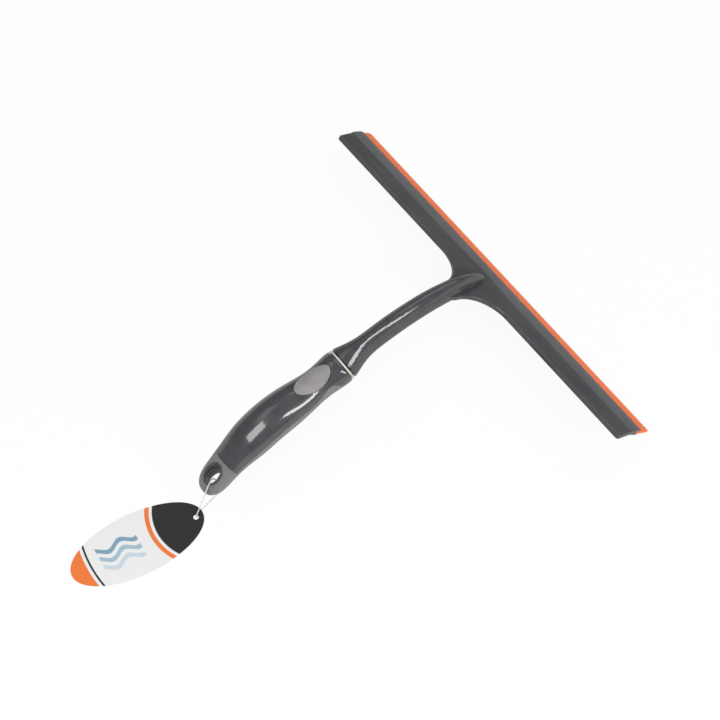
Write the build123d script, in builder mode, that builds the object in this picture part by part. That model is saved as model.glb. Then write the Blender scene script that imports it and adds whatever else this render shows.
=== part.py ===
"""Window squeegee: a T-shaped hand squeegee with a slide-in rubber blade, a soft-grip handle and a hang tag.

The part lies as it does on a table, on the blade's edge and the tail of the handle. X runs along the
blade, Y from the tail to the blade and Z up. The origin is on the table, under the middle of the tool.
"""

import math
import os

from build123d import *

# Head: a sloping plate with a front band that holds the blade.
HEAD_LENGTH = 300.0
LIP_Y = 124.4
LIP_Z = 11.34
BAND_WIDTH = 13.0
BAND_SLOPE = 43.5
BAND_START_SLOPE = 36.0
BAND_HEEL = 5.4
PLATE_SLOPE = 34.0
PLATE_DEPTH = 14.2
PLATE_THICKNESS = 3.1
LIP_HEIGHT = 4.5
LIP_EDGE = 0.5
FOOT_EDGE = 1.3
FAN_RADIUS = 27.0
FAN_HALF_WIDTH = 7.8
FAN_BULGE = 1.8
FAN_BULGE_HALF_WIDTH = 30.0
FIN_LENGTH = 12.0
FIN_HALF_WIDTH = 5.2
CORNER_RADIUS = 2.0
RIM_RADIUS = 1.0

# Blade: a bead in the band's slot, a web through its mouth and a bent wiping strip.
BLADE_SLOPE = 46.0
BLADE_DROP = 2.4
BEAD_RADIUS = 1.5
BEAD_SETBACK = 2.7
WEB_THICKNESS = 1.4
SLOT_CLEARANCE = 0.05
STRIP_START = 0.1
STRIP_THICKNESS = 2.6
STRIP_LENGTH = 7.2
EDGE_LENGTH = 5.22
EDGE_BEND = 9.5
EDGE_THICKNESS = 1.8

# Collar: where the neck of the head plugs into the handle.
COLLAR_Y = -13.0
COLLAR_Z = 45.2
COLLAR_SLOPE = 15.0
COLLAR_RADIUS = 11.9
COLLAR_WIDTH = 1.4
NECK_GAP = 1.0
NECK_GAP_RADIUS = 10.9
GRIP_GAP = 0.7
GRIP_GAP_RADIUS = 11.1
BASE_RADIUS = 7.9
BASE_CLEARANCE = 0.1
TANG_SLOPE = 6.0
TANG_RADIUS = 6.0
TANG_LENGTH = 36.0
TANG_CLEARANCE = 0.1
RIB_HEIGHT = 0.6
RIB_WIDTH = 2.4
RIB_DEPTH = 26.0
RIB_CLEARANCE = 0.2

# Neck sections, collar to nose: place along Y, height, slope, half-width, half-height, narrowing at the top.
NECK_SECTIONS = [
    (-8.5, 46.9, 15.0, 10.9, 11.5, 0.08),
    (1.0, 50.6, 12.0, 7.95, 9.7, 0.34),
    (20.0, 53.6, 4.0, 6.85, 8.8, 0.45),
    (42.5, 53.35, -4.5, 6.75, 8.65, 0.45),
    (65.0, 49.6, -14.5, 6.55, 8.6, 0.42),
    (90.0, 38.2, -28.5, 5.0, 8.9, 0.15),
    (104.5, 28.0, -35.0, 3.1, 6.0, 0.0),
    (107.9, 25.3, -36.0, 2.1, 3.9, 0.0),
    (109.3, 24.15, -36.0, 0.9, 1.85, 0.0),
]
NECK_END_RADIUS = 11.8

# Grip sections, collar to tail: place along Y, height, slope, half-width, half-height and squareness.
GRIP_SECTIONS = [
    (-20.2, 44.1, 10.0, 12.4, 12.4, 2.0),
    (-30.0, 42.6, 8.0, 11.5, 11.5, 2.0),
    (-42.0, 41.2, 5.0, 12.0, 12.0, 2.0),
    (-54.0, 40.4, 4.0, 13.4, 13.2, 2.0),
    (-68.0, 39.3, 8.0, 14.2, 14.0, 2.0),
    (-83.0, 35.6, 18.0, 14.3, 13.7, 2.0),
    (-97.0, 29.3, 28.0, 13.2, 11.5, 2.1),
    (-109.0, 21.8, 35.0, 11.6, 7.8, 2.3),
]
# Tail sections round the eyelet: the same, with place and height measured from the eyelet's centre.
TAIL_SECTIONS = [
    (4.2, -5.1, 38.0, 10.6, 6.6, 2.8),
    (-1.9, -10.4, 38.0, 9.4, 6.2, 2.8),
    (-5.9, -13.8, 38.0, 7.0, 4.7, 2.6),
    (-8.0, -15.5, 38.0, 3.3, 2.2, 2.4),
]
GRIP_END_RADIUS = 12.2
ROUND = 2.0
SECTION_POINTS = 16

# Soft grip: a skin over the hard body below a parting line, and the whole tail behind the shell's rear edge.
SKIN = 2.2
SKIN_FRONT_Y = -22.6
PARTING_LINE = [
    (-22.6, 41.5),
    (-24.8, 46.2),
    (-28.5, 48.6),
    (-34.5, 47.0),
    (-42.0, 44.0),
    (-58.0, 43.4),
    (-76.0, 41.0),
    (-93.0, 34.3),
    (-104.5, 27.3),
    (-110.9, 22.6),
]
SHELL_REAR_SLOPE = 36.0
CORE_END = (-112.6, 18.9, 36.5, 8.6, 4.8, 2.3)

# Thumb pad on top of the grip.
PAD_Y = -40.3
PAD_SLOPE = 7.0
PAD_HALF_LENGTH = 14.5
PAD_HALF_WIDTH = 7.4
PAD_GAP = 0.35
PAD_RISE = 0.55
PAD_EDGE = 0.45
PAD_HEAD_ROOM = 70.0
PAD_REACH = 24.0

# Eyelet: an oval bush through the tail, with a rim on top.
EYELET_Y = -122.7
EYELET_Z = 19.1
EYELET_RIM_SLOPE = 42.5
EYELET_BORE_SLOPE = 9.0
EYELET_HALF_WIDTH = 4.3
EYELET_HALF_LENGTH = 6.0
EYELET_WALL = 1.3
EYELET_STEP = 0.55
EYELET_STEP_DEPTH = 3.6
EYELET_REACH = 24.0
RIM_HALF_WIDTH = 6.5
RIM_HALF_LENGTH = 9.0
RIM_PROUD = 0.7
RIM_SUNK = 0.9
RIM_EDGE = 0.5

# Hang tag: a flat card on the table behind the tail.
TAG_HOLE_X = 11.2
TAG_HOLE_Y = -146.2
TAG_HALF_LENGTH = 48.5
TAG_HALF_WIDTH = 22.1
TAG_THICKNESS = 0.4
TAG_UNDERSIDE = 1.0
TAG_TURN = 9.6
TAG_HOLE_RADIUS = 1.8
TAG_HOLE_INSET = 5.6
TAG_HOLE_ASIDE = -1.5

# Tag loop: a nylon strand from a lock under the grip, up the eyelet, over the rim, through the tag and back.
LOOP_DIAMETER = 0.8
LOOP_START_X = 0.0
LOOP_START_Y = -121.5
LOOP_LEAD = 2.2
LOCK_DIAMETER = 2.2
LOCK_LENGTH = 4.0
LOCK_ALONG = -5.0
LOCK_ASIDE = 5.2
# Corners of the strand between its straight leads: distance towards the tag hole, step aside and height.
LOOP_CORNERS = [
    (-8.9, 3.5, 0.7),
    (-8.9, 1.1, 0.5),
    (-7.2, -0.6, 0.45),
    (-4.8, -0.6, 0.6),
    (-2.6, -0.4, 2.2),
    (-1.2, -0.1, 5.6),
    (0.0, 0.0, 9.6),
    (1.6, 0.0, 13.4),
    (4.6, 0.0, 16.8),
    (8.8, 0.0, 15.8),
    (13.2, 0.0, 11.7),
    (20.4, 0.0, 6.8),
    (24.6, 0.0, 3.7),
    (27.12, 0.0, 2.3),
    (27.12, 0.0, 0.45),
    (24.4, 0.0, 0.45),
    (19.5, 0.9, 0.45),
    (12.0, 2.6, 0.45),
    (5.6, 4.4, 0.45),
]
BEND_SHARE = 0.45

SIDE_REACH = 40.0


def down(slope):
    """Unit step forward and down a slope, as (y, z)."""
    return math.cos(math.radians(slope)), -math.sin(math.radians(slope))


def above(slope):
    """Unit step square to that slope, upward, as (y, z)."""
    return math.sin(math.radians(slope)), math.cos(math.radians(slope))


def across(y, z, slope):
    """Plane square to a line that rises towards the blade by slope, facing the tail, its own y upward."""
    rise = math.radians(slope)
    return Plane(origin=(0, y, z), x_dir=(1, 0, 0), z_dir=(0, -math.cos(rise), -math.sin(rise)))


def leaning(y, z, slope):
    """Plane that rises towards the blade by slope, facing up, its own y towards the blade."""
    rise = math.radians(slope)
    return Plane(origin=(0, y, z), x_dir=(1, 0, 0), z_dir=(0, -math.sin(rise), math.cos(rise)))


def neck_curve(half_width, half_height, narrowing):
    """Closed curve across the neck: two mirrored halves that narrow by a share towards the top."""
    handle_reach = 4 / 3 * half_width
    low = handle_reach * (1 + narrowing)
    high = handle_reach * (1 - narrowing)
    Bezier((0, -half_height), (low, -half_height), (high, half_height), (0, half_height))
    Bezier((0, half_height), (-high, half_height), (-low, -half_height), (0, -half_height))


def grip_curve(half_width, half_height, squareness):
    """Closed curve across the grip: an ellipse at squareness 2, with flatter sides above that."""
    points = []
    for k in range(SECTION_POINTS):
        turn = 2 * math.pi * k / SECTION_POINTS
        side = math.cos(turn)
        up = math.sin(turn)
        x = math.copysign(abs(side) ** (2 / squareness), side) * half_width
        y = math.copysign(abs(up) ** (2 / squareness), up) * half_height
        points.append((x, y))
    Spline(*points, periodic=True)


fold_step = down(BAND_SLOPE)
fold_y = LIP_Y - BAND_WIDTH * fold_step[0]
fold_z = LIP_Z - BAND_WIDTH * fold_step[1]
plate_normal = above(PLATE_SLOPE)
plate_plane = Plane(origin=(0, fold_y, fold_z), x_dir=(1, 0, 0), z_dir=(0, *plate_normal))
blade_step = down(BLADE_SLOPE)
blade_normal = above(BLADE_SLOPE)
blade_plane = Plane(
    origin=(0, LIP_Y - BLADE_DROP * blade_normal[0], LIP_Z - BLADE_DROP * blade_normal[1]),
    x_dir=(0, *blade_step),
    z_dir=(1, 0, 0),
)
collar_plane = across(COLLAR_Y, COLLAR_Z, COLLAR_SLOPE)
tang_plane = across(COLLAR_Y, COLLAR_Z, TANG_SLOPE)
neck_end_plane = collar_plane.offset(-COLLAR_WIDTH / 2 - NECK_GAP)
grip_end_plane = collar_plane.offset(COLLAR_WIDTH / 2 + GRIP_GAP)
tail_sections = [(EYELET_Y + y, EYELET_Z + z, *shape) for y, z, *shape in TAIL_SECTIONS]
rim_plane = leaning(EYELET_Y, EYELET_Z, EYELET_RIM_SLOPE)
bore_plane = leaning(EYELET_Y, EYELET_Z, EYELET_BORE_SLOPE)


# Head frame: plate, front band, neck and the tang that plugs into the handle
with BuildPart() as plate:
    with BuildSketch(plate_plane):
        with BuildLine():
            fan_x = FAN_HALF_WIDTH + FAN_RADIUS
            fan_y = -PLATE_DEPTH - FAN_RADIUS
            fin_y = fan_y - FIN_LENGTH
            Line((-HEAD_LENGTH / 2, 0), (-HEAD_LENGTH / 2, -PLATE_DEPTH))
            Line((-HEAD_LENGTH / 2, -PLATE_DEPTH), (-fan_x, -PLATE_DEPTH))
            CenterArc((-fan_x, fan_y), FAN_RADIUS, 90, -90)
            Polyline(
                (-FAN_HALF_WIDTH, fan_y),
                (-FIN_HALF_WIDTH, fin_y),
                (FIN_HALF_WIDTH, fin_y),
                (FAN_HALF_WIDTH, fan_y),
            )
            CenterArc((fan_x, fan_y), FAN_RADIUS, 180, -90)
            Line((fan_x, -PLATE_DEPTH), (HEAD_LENGTH / 2, -PLATE_DEPTH))
            Line((HEAD_LENGTH / 2, -PLATE_DEPTH), (HEAD_LENGTH / 2, 0))
            Line((HEAD_LENGTH / 2, 0), (FAN_BULGE_HALF_WIDTH, 0))
            Spline(
                (FAN_BULGE_HALF_WIDTH, 0),
                (0, FAN_BULGE),
                (-FAN_BULGE_HALF_WIDTH, 0),
                tangents=((-1, 0), (-1, 0)),
            )
            Line((-FAN_BULGE_HALF_WIDTH, 0), (-HEAD_LENGTH / 2, 0))
        make_face()
    extrude(amount=-PLATE_THICKNESS)
    upright = plate.edges().filter_by(Axis((0, 0, 0), (0, *plate_normal)))
    back_corners = [upright.group_by(Axis.X)[side].sort_by(Axis.Y)[0] for side in (0, -1)]
    fillet(back_corners, CORNER_RADIUS)
    plate_forward = Axis((0, 0, 0), (0, *down(PLATE_SLOPE)))
    top_edges = plate.faces().sort_by(Axis((0, 0, 0), (0, *plate_normal)))[-1].edges()
    rim = top_edges - top_edges.filter_by(plate_forward)
    rim = rim.sort_by(plate_forward)[1:-3]
    fillet(rim, RIM_RADIUS)

with BuildPart() as neck:
    with BuildSketch(neck_end_plane):
        with BuildLine():
            neck_curve(NECK_END_RADIUS, NECK_END_RADIUS, 0)
        make_face()
    for y, z, slope, half_width, half_height, narrowing in NECK_SECTIONS:
        with BuildSketch(across(y, z, slope)):
            with BuildLine():
                neck_curve(half_width, half_height, narrowing)
            make_face()
    loft()

with BuildPart() as head_frame:
    add(plate.part)
    with BuildSketch(Plane.YZ) as band_section:
        with BuildLine():
            lip = (LIP_Y, LIP_Z)
            fold = (fold_y, fold_z)
            face_end = (LIP_Y - LIP_HEIGHT * blade_normal[0], LIP_Z - LIP_HEIGHT * blade_normal[1])
            under = (fold_y - PLATE_THICKNESS * plate_normal[0], fold_z - PLATE_THICKNESS * plate_normal[1])
            heel = (face_end[0] - BAND_HEEL * blade_step[0], face_end[1] - BAND_HEEL * blade_step[1])
            TangentArc(fold, lip, tangent=down(BAND_START_SLOPE))
            Polyline(lip, face_end, heel, under, fold)
        make_face()
        fillet(band_section.vertices().sort_by(Axis.X)[-1], LIP_EDGE)
        heel_and_foot = band_section.vertices().sort_by(Axis.X)[2:4]
        fillet(heel_and_foot, FOOT_EDGE)
    extrude(amount=HEAD_LENGTH / 2, both=True)
    add(neck.part)
    with BuildSketch(neck_end_plane):
        Circle(NECK_GAP_RADIUS)
    extrude(amount=NECK_GAP)
    with BuildSketch(neck_end_plane):
        Circle(BASE_RADIUS)
    extrude(amount=NECK_GAP + COLLAR_WIDTH)
    with BuildSketch(tang_plane):
        Circle(TANG_RADIUS)
    extrude(amount=TANG_LENGTH)
    with BuildSketch(tang_plane.offset(RIB_DEPTH)):
        Circle(TANG_RADIUS + RIB_HEIGHT)
    extrude(amount=RIB_WIDTH)
    with BuildSketch(blade_plane):
        with Locations((-BEAD_SETBACK, 0)):
            Circle(BEAD_RADIUS + SLOT_CLEARANCE)
        with Locations((-BEAD_SETBACK / 2 + STRIP_START, 0)):
            Rectangle(BEAD_SETBACK + 2 * STRIP_START, WEB_THICKNESS + 2 * SLOT_CLEARANCE)
    extrude(amount=HEAD_LENGTH, both=True, mode=Mode.SUBTRACT)
head_frame.part.label = "head_frame"


# Blade rubber
with BuildPart() as blade:
    with BuildSketch(blade_plane):
        with Locations((-BEAD_SETBACK, 0)):
            Circle(BEAD_RADIUS)
        with Locations(((STRIP_START - BEAD_SETBACK) / 2, 0)):
            Rectangle(BEAD_SETBACK + STRIP_START, WEB_THICKNESS)
        with BuildLine():
            bend = math.radians(EDGE_BEND)
            top = STRIP_THICKNESS / 2
            knee_x = STRIP_START + STRIP_LENGTH
            tip_x = knee_x + EDGE_LENGTH * math.cos(bend)
            tip_y = top - EDGE_LENGTH * math.sin(bend)
            heel_x = tip_x - EDGE_THICKNESS * math.sin(bend)
            heel_y = tip_y - EDGE_THICKNESS * math.cos(bend)
            Polyline(
                (STRIP_START, top),
                (knee_x, top),
                (tip_x, tip_y),
                (heel_x, heel_y),
                (knee_x, -top),
                (STRIP_START, -top),
                close=True,
            )
        make_face()
    extrude(amount=HEAD_LENGTH / 2, both=True)
blade.part.label = "blade_rubber"


# Collar ring between neck and handle
with BuildPart() as collar:
    with BuildSketch(collar_plane):
        Circle(COLLAR_RADIUS)
        Circle(BASE_RADIUS + BASE_CLEARANCE, mode=Mode.SUBTRACT)
    extrude(amount=COLLAR_WIDTH / 2, both=True)
collar.part.label = "collar_ring"


# Grip envelope: the outside of the whole handle
with BuildPart() as envelope:
    with BuildSketch(grip_end_plane):
        with BuildLine():
            grip_curve(GRIP_END_RADIUS, GRIP_END_RADIUS, ROUND)
        make_face()
    for y, z, slope, half_width, half_height, squareness in GRIP_SECTIONS + tail_sections:
        with BuildSketch(across(y, z, slope)):
            with BuildLine():
                grip_curve(half_width, half_height, squareness)
            make_face()
    loft()

# Core: the hard body's own outside where the soft skin lies over it
with BuildPart() as core:
    with BuildSketch(grip_end_plane):
        with BuildLine():
            grip_curve(GRIP_END_RADIUS - SKIN, GRIP_END_RADIUS - SKIN, ROUND)
        make_face()
    for y, z, slope, half_width, half_height, squareness in GRIP_SECTIONS:
        with BuildSketch(across(y, z, slope)):
            with BuildLine():
                grip_curve(half_width - SKIN, half_height - SKIN, squareness)
            make_face()
    with BuildSketch(across(*CORE_END[:3])):
        with BuildLine():
            grip_curve(*CORE_END[3:])
        make_face()
    loft()

# Eyelet before it is bored: its rim and the oval bush below
with BuildPart() as eyelet_rim:
    with BuildSketch(rim_plane.offset(-RIM_SUNK)):
        Ellipse(RIM_HALF_WIDTH, RIM_HALF_LENGTH)
    extrude(amount=RIM_SUNK + RIM_PROUD)
    fillet(eyelet_rim.edges().sort_by(Axis((0, 0, 0), tuple(rim_plane.z_dir)))[-1], RIM_EDGE)

with BuildPart() as eyelet_solid:
    with BuildSketch(bore_plane):
        Ellipse(EYELET_HALF_WIDTH + EYELET_WALL, EYELET_HALF_LENGTH + EYELET_WALL)
    extrude(amount=EYELET_REACH, both=True)
    add(envelope.part, mode=Mode.INTERSECT)
    add(eyelet_rim.part)

with BuildPart() as skin:
    add(envelope.part)
    with BuildSketch(Plane.YZ):
        with BuildLine():
            rear_rise = math.radians(SHELL_REAR_SLOPE)
            rear_low = PARTING_LINE[-1]
            rear_high = (
                rear_low[0] - SIDE_REACH * math.sin(rear_rise),
                rear_low[1] + SIDE_REACH * math.cos(rear_rise),
            )
            far_y = rear_high[0] - SIDE_REACH
            Spline(*PARTING_LINE)
            Polyline(
                rear_low,
                rear_high,
                (far_y, rear_high[1]),
                (far_y, -SIDE_REACH),
                (SKIN_FRONT_Y, -SIDE_REACH),
                PARTING_LINE[0],
            )
        make_face()
    extrude(amount=SIDE_REACH, both=True, mode=Mode.INTERSECT)
    add(core.part, mode=Mode.SUBTRACT)


# Soft grip: the skin with room for the eyelet
with BuildPart() as soft_grip:
    add(skin.part)
    add(eyelet_solid.part, mode=Mode.SUBTRACT)
soft_grip.part.label = "soft_grip"


# Thumb pad: an oval of the grip's outside, raised a little, with a rounded edge
with BuildPart() as pad_cover:
    for y, z, slope, half_width, half_height, squareness in GRIP_SECTIONS:
        with BuildSketch(across(y, z, slope)):
            with BuildLine():
                grip_curve(half_width + PAD_RISE, half_height + PAD_RISE, squareness)
            make_face()
    loft()

with BuildPart() as thumb_pad:
    with BuildSketch(leaning(PAD_Y, PAD_HEAD_ROOM, PAD_SLOPE)):
        Ellipse(PAD_HALF_WIDTH, PAD_HALF_LENGTH)
    extrude(amount=-PAD_REACH)
    add(pad_cover.part, mode=Mode.INTERSECT)
    add(core.part, mode=Mode.SUBTRACT)
    fillet(thumb_pad.faces().sort_by(Axis.Z)[-1].edges(), PAD_EDGE)
thumb_pad.part.label = "thumb_pad"


# Handle body: the hard shell and core, with its window, socket and tail cut-out
with BuildPart() as pad_window:
    with BuildSketch(leaning(PAD_Y, PAD_HEAD_ROOM, PAD_SLOPE)):
        Ellipse(PAD_HALF_WIDTH + PAD_GAP, PAD_HALF_LENGTH + PAD_GAP)
    extrude(amount=-PAD_REACH)
    add(core.part, mode=Mode.SUBTRACT)

with BuildPart() as handle_body:
    add(envelope.part)
    add(skin.part, mode=Mode.SUBTRACT)
    add(eyelet_solid.part, mode=Mode.SUBTRACT)
    add(pad_window.part, mode=Mode.SUBTRACT)
    with BuildSketch(grip_end_plane):
        Circle(GRIP_GAP_RADIUS)
    extrude(amount=-GRIP_GAP)
    with BuildSketch(tang_plane):
        Circle(TANG_RADIUS + TANG_CLEARANCE)
    extrude(amount=TANG_LENGTH + TANG_CLEARANCE, mode=Mode.SUBTRACT)
    with BuildSketch(tang_plane.offset(RIB_DEPTH - RIB_CLEARANCE)):
        Circle(TANG_RADIUS + RIB_HEIGHT + TANG_CLEARANCE)
    extrude(amount=RIB_WIDTH + 2 * RIB_CLEARANCE, mode=Mode.SUBTRACT)
handle_body.part.label = "handle_body"


# Hanging eyelet
with BuildPart() as eyelet:
    add(eyelet_solid.part)
    with BuildSketch(bore_plane):
        Ellipse(EYELET_HALF_WIDTH, EYELET_HALF_LENGTH)
    extrude(amount=EYELET_REACH, both=True, mode=Mode.SUBTRACT)
    with BuildSketch(bore_plane.offset(EYELET_REACH)):
        Ellipse(EYELET_HALF_WIDTH + EYELET_STEP, EYELET_HALF_LENGTH + EYELET_STEP)
    extrude(amount=-EYELET_REACH - EYELET_STEP_DEPTH, mode=Mode.SUBTRACT)
eyelet.part.label = "hanging_eyelet"


# Hang tag
tag_turn = math.radians(TAG_TURN)
tag_plane = Plane(
    origin=(TAG_HOLE_X, TAG_HOLE_Y, TAG_UNDERSIDE),
    x_dir=(-math.sin(tag_turn), -math.cos(tag_turn), 0),
    z_dir=(0, 0, 1),
)
with BuildPart() as hang_tag:
    with BuildSketch(tag_plane):
        with Locations((TAG_HALF_LENGTH - TAG_HOLE_INSET, TAG_HOLE_ASIDE)):
            Ellipse(TAG_HALF_LENGTH, TAG_HALF_WIDTH)
        Circle(TAG_HOLE_RADIUS, mode=Mode.SUBTRACT)
    extrude(amount=TAG_THICKNESS)
hang_tag.part.label = "hang_tag"


# Tag loop and its lock
loop_reach = math.hypot(TAG_HOLE_X - LOOP_START_X, TAG_HOLE_Y - LOOP_START_Y)
loop_dx = (TAG_HOLE_X - LOOP_START_X) / loop_reach
loop_dy = (TAG_HOLE_Y - LOOP_START_Y) / loop_reach


def on_lock_axis(reach):
    """Corner on the axis of the lock, which lies on the table, at a distance from its front end."""
    return LOCK_ALONG + reach, LOCK_ASIDE, LOCK_DIAMETER / 2


loop_corners = [on_lock_axis(0), on_lock_axis(-LOOP_LEAD)]
loop_corners += LOOP_CORNERS
loop_corners += [on_lock_axis(LOCK_LENGTH + LOOP_LEAD), on_lock_axis(LOCK_LENGTH)]
loop_points = [
    Vector(LOOP_START_X + s * loop_dx - q * loop_dy, LOOP_START_Y + s * loop_dy + q * loop_dx, z)
    for s, q, z in loop_corners
]


def bend_radii(points):
    """Largest even radius at each inner corner that leaves a little of both runs straight."""
    radii = []
    for before, corner, after in zip(points, points[1:], points[2:]):
        run_in = corner - before
        run_out = after - corner
        turn = math.radians(run_in.get_angle(run_out))
        radii.append(BEND_SHARE * min(run_in.length, run_out.length) / math.tan(turn / 2))
    return radii


loop_radii = bend_radii(loop_points)
with BuildPart() as tag_loop:
    with BuildLine() as loop_path:
        FilletPolyline(*loop_points, radius=loop_radii)
    with BuildSketch(Plane(origin=loop_path.line @ 0, z_dir=loop_path.line % 0)):
        Circle(LOOP_DIAMETER / 2)
    sweep()
tag_loop.part.label = "tag_loop"
print("loop radii", [round(radius, 2) for radius in loop_radii])
loop_length = loop_path.wire().length
loop_expected = math.pi * LOOP_DIAMETER**2 / 4 * loop_length
loop_share = tag_loop.part.volume / loop_expected
print("loop length", round(loop_length, 1), "volume over section times length", loop_share)

lock_axis = loop_points[0] - loop_points[-1]
with BuildPart() as loop_lock:
    with BuildSketch(Plane(origin=loop_points[-1], z_dir=lock_axis)):
        Circle(LOCK_DIAMETER / 2)
    extrude(amount=lock_axis.length)
loop_lock.part.label = "loop_lock"


os.makedirs("parts", exist_ok=True)
for piece in (
    head_frame,
    blade,
    collar,
    handle_body,
    soft_grip,
    thumb_pad,
    eyelet,
    hang_tag,
    tag_loop,
    loop_lock,
):
    export_step(piece.part, f"parts/{piece.part.label}.step")
    box = piece.part.bounding_box()
    solids = len(piece.part.solids())
    print(piece.part.label, solids, "solid", round(piece.part.volume, 1), "mm3", box.min, box.max)
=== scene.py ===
"""A window squeegee lying on a pale table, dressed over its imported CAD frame."""

import math

import bpy
from mathutils import Matrix, Vector


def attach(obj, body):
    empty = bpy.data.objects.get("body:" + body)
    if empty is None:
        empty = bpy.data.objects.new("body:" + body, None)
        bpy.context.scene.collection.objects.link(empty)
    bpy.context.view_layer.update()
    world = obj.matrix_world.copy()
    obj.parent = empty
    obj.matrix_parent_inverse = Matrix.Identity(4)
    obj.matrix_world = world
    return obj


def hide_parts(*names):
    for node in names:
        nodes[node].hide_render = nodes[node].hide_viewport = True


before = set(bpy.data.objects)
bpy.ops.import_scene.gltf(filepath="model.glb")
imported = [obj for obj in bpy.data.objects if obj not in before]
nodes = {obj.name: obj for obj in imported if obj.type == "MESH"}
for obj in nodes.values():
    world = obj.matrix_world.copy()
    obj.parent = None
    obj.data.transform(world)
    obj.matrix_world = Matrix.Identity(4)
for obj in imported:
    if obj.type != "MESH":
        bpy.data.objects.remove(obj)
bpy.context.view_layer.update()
scene = bpy.context.scene

# Camera
CAMERA_PLACE = Vector((0.74625, -0.59175, 1.87449))
CAMERA_TARGET = Vector((-0.00956, 0.00990, 0.00988))
CAMERA_LENS = 154.31
SENSOR_WIDTH = 36.0
CLIP_START = 0.05

camera_data = bpy.data.cameras.new("camera")
camera_data.lens = CAMERA_LENS
camera_data.sensor_width = SENSOR_WIDTH
camera_data.clip_start = CLIP_START
camera = bpy.data.objects.new("camera", camera_data)
camera.location = CAMERA_PLACE
camera.rotation_euler = (CAMERA_TARGET - CAMERA_PLACE).to_track_quat("-Z", "Y").to_euler()
scene.collection.objects.link(camera)
scene.camera = camera

# Tag loop: the route's corners as in the CAD source, in millimetres from the loop's start
LOOP_START = (0.0, -121.5)
TAG_HOLE = (11.2, -146.2)
LOOP_DIAMETER = 0.8
LOOP_LEAD = 2.2
LOCK_DIAMETER = 2.2
LOCK_LENGTH = 4.0
LOCK_ALONG = -5.0
LOCK_ASIDE = 5.2
LOOP_CORNERS = [
    (-8.9, 3.5, 0.7),
    (-8.9, 1.1, 0.5),
    (-7.2, -0.6, 0.45),
    (-4.8, -0.6, 0.6),
    (-2.6, -0.4, 2.2),
    (-1.2, -0.1, 5.6),
    (0.0, 0.0, 9.6),
    (1.6, 0.0, 13.4),
    (4.6, 0.0, 16.8),
    (8.8, 0.0, 15.8),
    (13.2, 0.0, 11.7),
    (20.4, 0.0, 6.8),
    (24.6, 0.0, 3.7),
    (27.12, 0.0, 2.3),
    (27.12, 0.0, 0.45),
    (24.4, 0.0, 0.45),
    (19.5, 0.9, 0.45),
    (12.0, 2.6, 0.45),
    (5.6, 4.4, 0.45),
]


def on_lock_axis(reach):
    """Corner on the axis of the lock, which lies on the table, at a distance from its front end."""
    return LOCK_ALONG + reach, LOCK_ASIDE, LOCK_DIAMETER / 2


def loop_point(corner):
    """A route corner in the row frame, in metres."""
    along, aside, height = corner
    reach_x = TAG_HOLE[0] - LOOP_START[0]
    reach_y = TAG_HOLE[1] - LOOP_START[1]
    reach = math.hypot(reach_x, reach_y)
    x = LOOP_START[0] + (along * reach_x - aside * reach_y) / reach
    y = LOOP_START[1] + (along * reach_y + aside * reach_x) / reach
    return Vector((x, y, height)) / 1000


route = [on_lock_axis(0), on_lock_axis(-LOOP_LEAD)]
route += LOOP_CORNERS
route += [on_lock_axis(LOCK_LENGTH + LOOP_LEAD), on_lock_axis(LOCK_LENGTH)]
route = [loop_point(corner) for corner in route]

loop_curve = bpy.data.curves.new("nylon_loop", "CURVE")
loop_curve.dimensions = "3D"
loop_curve.bevel_depth = 1.0
loop_curve.bevel_resolution = 4
loop_curve.resolution_u = 12
strand = loop_curve.splines.new("NURBS")
strand.points.add(len(route) - 1)
for point, place in zip(strand.points, route):
    point.co = (*place, 1.0)
    point.radius = LOOP_DIAMETER / 2000
strand.order_u = 3
strand.use_endpoint_u = True
loop = bpy.data.objects.new("nylon_loop", loop_curve)
scene.collection.objects.link(loop)
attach(loop, "handle")
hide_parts("tag_loop")


# Shader helpers
NOISE_LOW = 0.3
NOISE_HIGH = 0.7


def new_material(name):
    """Make a material with a Principled shader; return it, its tree, the shader and its places."""
    material = bpy.data.materials.new(name)
    material.use_nodes = True
    tree = material.node_tree
    tree.nodes.clear()
    output = tree.nodes.new("ShaderNodeOutputMaterial")
    shader = tree.nodes.new("ShaderNodeBsdfPrincipled")
    tree.links.new(shader.outputs["BSDF"], output.inputs["Surface"])
    place = tree.nodes.new("ShaderNodeTexCoord").outputs["Object"]
    return material, tree, shader, place


def feed(tree, socket, value):
    """Link a socket to another, or set it to a number, vector or colour."""
    if isinstance(value, bpy.types.NodeSocket):
        tree.links.new(value, socket)
    else:
        socket.default_value = value


def calc(tree, operation, a, b=None):
    """One Math node."""
    node = tree.nodes.new("ShaderNodeMath")
    node.operation = operation
    for socket, value in zip(node.inputs, (a, b)):
        if value is not None:
            feed(tree, socket, value)
    return node.outputs[0]


def stretch(tree, place, factors):
    """Places scaled along each axis, for grain that runs one way."""
    node = tree.nodes.new("ShaderNodeVectorMath")
    node.operation = "MULTIPLY"
    feed(tree, node.inputs[0], place)
    node.inputs[1].default_value = factors
    return node.outputs[0]


def noise(tree, place, scale, detail=3.0, roughness=0.55):
    """Value of a noise texture, 0 to 1."""
    node = tree.nodes.new("ShaderNodeTexNoise")
    feed(tree, node.inputs["Vector"], place)
    node.inputs["Scale"].default_value = scale
    node.inputs["Detail"].default_value = detail
    node.inputs["Roughness"].default_value = roughness
    return node.outputs["Fac"]


def remap(tree, value, low, high, to_low, to_high):
    """Map a value from one range to another, held at the ends."""
    node = tree.nodes.new("ShaderNodeMapRange")
    feed(tree, node.inputs["Value"], value)
    node.inputs["From Min"].default_value = low
    node.inputs["From Max"].default_value = high
    node.inputs["To Min"].default_value = to_low
    node.inputs["To Max"].default_value = to_high
    return node.outputs["Result"]


def spread(tree, texture, to_low, to_high):
    """Map the range that a noise texture mostly keeps to, to another."""
    return remap(tree, texture, NOISE_LOW, NOISE_HIGH, to_low, to_high)


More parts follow.
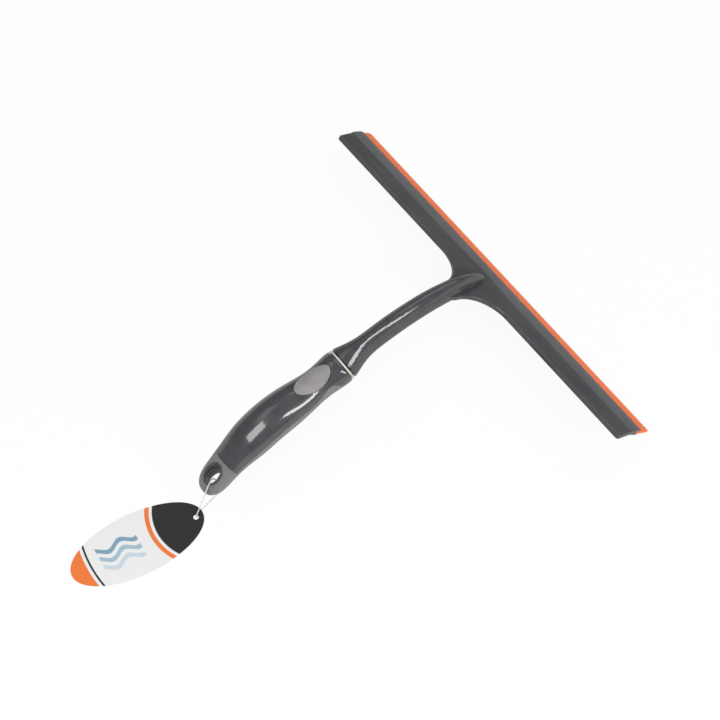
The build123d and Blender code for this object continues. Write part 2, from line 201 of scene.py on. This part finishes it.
def blend(tree, share, a, b):
    """Colour between a and b."""
    node = tree.nodes.new("ShaderNodeMix")
    node.data_type = "RGBA"
    feed(tree, node.inputs["Factor"], share)
    for socket, value in ((node.inputs[6], a), (node.inputs[7], b)):
        feed(tree, socket, value if isinstance(value, bpy.types.NodeSocket) else (*value, 1.0))
    return node.outputs[2]


def reach_along(tree, place, origin, axis):
    """Distance in millimetres from an origin along an axis."""
    start = tree.nodes.new("ShaderNodeVectorMath")
    start.operation = "SUBTRACT"
    feed(tree, start.inputs[0], place)
    start.inputs[1].default_value = [part / 1000 for part in origin]
    node = tree.nodes.new("ShaderNodeVectorMath")
    node.operation = "DOT_PRODUCT"
    feed(tree, node.inputs[0], start.outputs[0])
    node.inputs[1].default_value = [1000 * part for part in axis]
    return node.outputs["Value"]


def between(tree, value, low, high, soft=0.15):
    """1 where a value lies between two limits, 0 outside."""
    rise = remap(tree, value, low - soft, low + soft, 0.0, 1.0)
    fall = remap(tree, value, high - soft, high + soft, 1.0, 0.0)
    return calc(tree, "MULTIPLY", rise, fall)


def raise_bump(tree, shader, height, distance, strength=1.0):
    """Bump of that height in metres on the shader."""
    node = tree.nodes.new("ShaderNodeBump")
    node.inputs["Strength"].default_value = strength
    node.inputs["Distance"].default_value = distance
    feed(tree, node.inputs["Height"], height)
    tree.links.new(node.outputs["Normal"], shader.inputs["Normal"])


def dress(material, *names):
    """Give CAD nodes a material."""
    for name in names:
        node = nodes[name]
        node.data.materials.clear()
        node.data.materials.append(material)


# Glossy dark plastic of head, neck and shell: a clear skin over a duller body, with painted shade
# (near-black base colour) in the collar's seams
COLLAR_MIDDLE = (0.0, -13.0, 45.2)
COLLAR_SLOPE = math.radians(15.0)
# Limits along the collar's axis, in millimetres, of the painted shade in the seams
SEAM_SHADE_REAR = -1.4
SEAM_SHADE_FRONT = 1.7


def body_plastic(name, undercoat_shine, undercoat_roughness, skin_roughness):
    material, tree, shader, place = new_material(name)
    cloud = noise(tree, stretch(tree, place, (0.3, 1.0, 1.0)), scale=110.0, detail=4.0)
    smear = noise(tree, stretch(tree, place, (1.0, 0.25, 1.0)), scale=160.0, detail=4.0)
    ripple = noise(tree, place, scale=260.0, detail=2.0)
    patchy = spread(tree, cloud, 0.0, 1.0)
    skin = blend(tree, patchy, (0.052, 0.055, 0.059), (0.072, 0.075, 0.079))
    along = reach_along(tree, place, COLLAR_MIDDLE, (0.0, math.cos(COLLAR_SLOPE), math.sin(COLLAR_SLOPE)))
    # Painted shade: the base colour goes near black in the gaps beside the collar, where shade falls
    seam_painted_shade = between(tree, along, SEAM_SHADE_REAR, SEAM_SHADE_FRONT, 0.05)
    feed(tree, shader.inputs["Base Color"], blend(tree, seam_painted_shade, skin, (0.004, 0.004, 0.004)))
    least_rough = undercoat_roughness - 0.04
    most_rough = undercoat_roughness + 0.04
    feed(tree, shader.inputs["Roughness"], spread(tree, smear, least_rough, most_rough))
    shader.inputs["Specular IOR Level"].default_value = undercoat_shine
    shader.inputs["Coat Weight"].default_value = 0.25
    shader.inputs["Coat Roughness"].default_value = skin_roughness
    shader.inputs["Coat IOR"].default_value = 2.4
    raise_bump(tree, shader, ripple, distance=0.00002, strength=0.08)
    return material


# Dull dark plastic of the eyelet
def eyelet_plastic():
    material, tree, shader, place = new_material("eyelet_dark")
    cloud = noise(tree, place, scale=200.0, detail=3.0)
    fine = noise(tree, place, scale=4200.0, detail=2.0)
    tone = blend(tree, cloud, (0.076, 0.077, 0.078), (0.094, 0.095, 0.096))
    feed(tree, shader.inputs["Base Color"], tone)
    feed(tree, shader.inputs["Roughness"], spread(tree, cloud, 0.44, 0.54))
    shader.inputs["Specular IOR Level"].default_value = 0.25
    raise_bump(tree, shader, fine, distance=0.000015, strength=0.6)
    return material


# Soft grey rubber of the underside, tail and thumb pad
def grip_rubber(name, dark, pale):
    material, tree, shader, place = new_material(name)
    cloud = noise(tree, place, scale=110.0, detail=5.0, roughness=0.65)
    grain = noise(tree, place, scale=3200.0, detail=3.0, roughness=0.7)
    feed(tree, shader.inputs["Base Color"], blend(tree, spread(tree, cloud, 0.0, 1.0), dark, pale))
    feed(tree, shader.inputs["Roughness"], spread(tree, grain, 0.50, 0.64))
    shader.inputs["Sheen Weight"].default_value = 0.08
    raise_bump(tree, shader, grain, distance=0.00003, strength=0.6)
    return material


# Orange wiping rubber
def blade_rubber():
    material, tree, shader, place = new_material("blade_orange")
    streak = noise(tree, stretch(tree, place, (0.02, 1.0, 1.0)), scale=1400.0, detail=3.0)
    cloud = noise(tree, place, scale=60.0, detail=3.0)
    warm = blend(tree, cloud, (0.960, 0.192, 0.048), (0.990, 0.210, 0.056))
    worn = remap(tree, streak, 0.35, 0.65, 0.0, 0.12)
    feed(tree, shader.inputs["Base Color"], blend(tree, worn, warm, (0.84, 0.15, 0.035)))
    feed(tree, shader.inputs["Roughness"], spread(tree, streak, 0.48, 0.58))
    shader.inputs["Specular IOR Level"].default_value = 0.2
    raise_bump(tree, shader, streak, distance=0.000004, strength=0.3)
    return material


# Cream plastic of the collar
def collar_plastic():
    material, tree, shader, place = new_material("collar_cream")
    cloud = noise(tree, place, scale=220.0, detail=3.0)
    fine = noise(tree, place, scale=3600.0, detail=2.0)
    tone = blend(tree, cloud, (0.56, 0.51, 0.47), (0.64, 0.585, 0.54))
    feed(tree, shader.inputs["Base Color"], tone)
    feed(tree, shader.inputs["Roughness"], spread(tree, cloud, 0.36, 0.46))
    raise_bump(tree, shader, fine, distance=0.00001, strength=0.5)
    return material


# Milky nylon of the loop and its lock
def loop_nylon():
    material, tree, shader, place = new_material("loop_clear")
    cloud = noise(tree, place, scale=900.0, detail=2.0)
    tone = blend(tree, cloud, (0.90, 0.90, 0.90), (0.96, 0.96, 0.96))
    feed(tree, shader.inputs["Base Color"], tone)
    feed(tree, shader.inputs["Roughness"], spread(tree, cloud, 0.30, 0.40))
    shader.inputs["Transmission Weight"].default_value = 0.25
    return material


# Printed card of the hang tag, drawn from its hole along its length
TAG_TURN = math.radians(9.6)
TAG_MIDDLE_ASIDE = -1.5
TAG_DARK = (0.010, 0.012, 0.012)
TAG_ORANGE = (0.84, 0.19, 0.03)
# Arcs: inner and outer radius about a point on the middle line, and colour
TAG_ARCS_MIDDLE = -8.0
TAG_ARCS = [
    (-1.0, 36.0, TAG_DARK),
    (38.0, 41.0, TAG_ORANGE),
    (88.0, 120.0, TAG_ORANGE),
    (84.6, 86.0, TAG_DARK),
]
# Waves: place from the middle line, and colour
TAG_WAVES = [
    (-6.5, (0.20, 0.34, 0.46)),
    (0.0, (0.36, 0.50, 0.60)),
    (6.5, (0.56, 0.66, 0.72)),
]
WAVE_START = 41.0
WAVE_END = 70.0
WAVE_LENGTH = 19.0
WAVE_HEIGHT = 2.2
WAVE_HALF_WIDTH = 1.7


def tag_card():
    material, tree, shader, place = new_material("tag_card")

    hole = (TAG_HOLE[0], TAG_HOLE[1], 0.0)
    along = reach_along(tree, place, hole, (-math.sin(TAG_TURN), -math.cos(TAG_TURN), 0.0))
    aside = reach_along(tree, place, hole, (math.cos(TAG_TURN), -math.sin(TAG_TURN), 0.0))

    u = calc(tree, "SUBTRACT", along, TAG_ARCS_MIDDLE)
    v = calc(tree, "SUBTRACT", aside, TAG_MIDDLE_ASIDE)
    squares = calc(tree, "ADD", calc(tree, "MULTIPLY", u, u), calc(tree, "MULTIPLY", v, v))
    reach = calc(tree, "SQRT", squares)

    fibre = noise(tree, place, scale=1500.0, detail=4.0)
    cloud = noise(tree, place, scale=60.0, detail=3.0)
    colour = blend(tree, cloud, (0.80, 0.795, 0.79), (0.84, 0.835, 0.83))
    for inner, outer, ink in TAG_ARCS:
        colour = blend(tree, between(tree, reach, inner, outer), colour, ink)

    swell = calc(tree, "SINE", calc(tree, "MULTIPLY", along, 2 * math.pi / WAVE_LENGTH))
    crest = calc(tree, "SUBTRACT", aside, calc(tree, "MULTIPLY", swell, WAVE_HEIGHT))
    run = between(tree, along, WAVE_START, WAVE_END)
    for from_middle, tone in TAG_WAVES:
        middle = TAG_MIDDLE_ASIDE + from_middle
        wave = between(tree, crest, middle - WAVE_HALF_WIDTH, middle + WAVE_HALF_WIDTH)
        colour = blend(tree, calc(tree, "MULTIPLY", run, wave), colour, tone)
    feed(tree, shader.inputs["Base Color"], colour)
    feed(tree, shader.inputs["Roughness"], spread(tree, fibre, 0.40, 0.52))
    raise_bump(tree, shader, fibre, distance=0.000012, strength=0.5)
    return material


dress(body_plastic("head_dark", 0.04, 0.44, 0.14), "head_frame")
dress(body_plastic("shell_dark", 0.25, 0.32, 0.08), "handle_body")
dress(blade_rubber(), "blade_rubber")
dress(collar_plastic(), "collar_ring")
dress(grip_rubber("grip_grey", (0.188, 0.176, 0.174), (0.230, 0.216, 0.214)), "soft_grip")
dress(grip_rubber("pad_grey", (0.262, 0.248, 0.244), (0.322, 0.305, 0.300)), "thumb_pad")
dress(eyelet_plastic(), "hanging_eyelet")
dress(tag_card(), "hang_tag")
nylon = loop_nylon()
dress(nylon, "loop_lock")
loop_curve.materials.append(nylon)

# Floor, which shows white and still takes the shadow
FLOOR_REACH = 3.0
FLOOR_GLOW_SHARE = 0.92

floor_mesh = bpy.data.meshes.new("floor")
floor_mesh.from_pydata(
    [
        (-FLOOR_REACH, -FLOOR_REACH, 0),
        (FLOOR_REACH, -FLOOR_REACH, 0),
        (FLOOR_REACH, FLOOR_REACH, 0),
        (-FLOOR_REACH, FLOOR_REACH, 0),
    ],
    [],
    [(0, 1, 2, 3)],
)
floor = bpy.data.objects.new("floor", floor_mesh)
scene.collection.objects.link(floor)
floor_material = bpy.data.materials.new("floor")
floor_material.use_nodes = True
floor_tree = floor_material.node_tree
floor_tree.nodes.clear()
floor_output = floor_tree.nodes.new("ShaderNodeOutputMaterial")
floor_paint = floor_tree.nodes.new("ShaderNodeBsdfDiffuse")
floor_paint.inputs["Color"].default_value = (0.94, 0.94, 0.94, 1.0)
floor_glow = floor_tree.nodes.new("ShaderNodeEmission")
floor_glow.inputs["Strength"].default_value = 1.0
floor_mix = floor_tree.nodes.new("ShaderNodeMixShader")
ray = floor_tree.nodes.new("ShaderNodeLightPath")
seen = calc(floor_tree, "MAXIMUM", ray.outputs["Is Camera Ray"], ray.outputs["Is Glossy Ray"])
seen = calc(floor_tree, "MAXIMUM", seen, ray.outputs["Is Transmission Ray"])
floor_tree.links.new(calc(floor_tree, "MULTIPLY", seen, FLOOR_GLOW_SHARE), floor_mix.inputs["Fac"])
floor_tree.links.new(floor_paint.outputs["BSDF"], floor_mix.inputs[1])
floor_tree.links.new(floor_glow.outputs["Emission"], floor_mix.inputs[2])
floor_tree.links.new(floor_mix.outputs["Shader"], floor_output.inputs["Surface"])
floor_mesh.materials.append(floor_material)

# World: a dim room
world = bpy.data.worlds.new("world")
scene.world = world
world.use_nodes = True
world.node_tree.nodes["Background"].inputs["Color"].default_value = (0.17, 0.174, 0.182, 1.0)


# Softboxes: name, azimuth, elevation, distance, width, height, roll and radiance
SOFTBOX_AIM = Vector((0.0, 0.0, 0.04))
SOFTBOXES = [
    ("softbox_rear", -71.0, 52.0, 1.4, 0.62, 0.83, 71.0, 6.6),
    ("softbox_side", 17.3, 28.6, 1.42, 0.21, 0.82, 30.2, 14.5),
    ("panel_front", 100.0, 45.0, 1.8, 2.0, 1.6, 0.0, 1.2),
    ("panel_rear", -150.0, 64.0, 1.8, 1.0, 0.8, 0.0, 1.0),
]


def softbox(name, azimuth, elevation, reach, width, height, roll, radiance):
    """Rectangular lamp at a direction from the object, facing it and turned about that direction."""
    az = math.radians(azimuth)
    el = math.radians(elevation)
    turn = math.radians(roll)
    out = Vector((math.cos(el) * math.cos(az), math.cos(el) * math.sin(az), math.sin(el)))
    level = Vector((-math.sin(az), math.cos(az), 0.0))
    upward = out.cross(level)
    wide = math.cos(turn) * level + math.sin(turn) * upward
    tall = out.cross(wide)
    lamp = bpy.data.lights.new(name, "AREA")
    lamp.shape = "RECTANGLE"
    lamp.size = width
    lamp.size_y = height
    lamp.energy = radiance * math.pi * width * height
    holder = bpy.data.objects.new(name, lamp)
    facing = Matrix((wide, tall, out)).transposed().to_4x4()
    facing.translation = SOFTBOX_AIM + reach * out
    holder.matrix_world = facing
    scene.collection.objects.link(holder)


for settings in SOFTBOXES:
    softbox(*settings)

scene.view_settings.view_transform = "Standard"

bpy.context.view_layer.update()
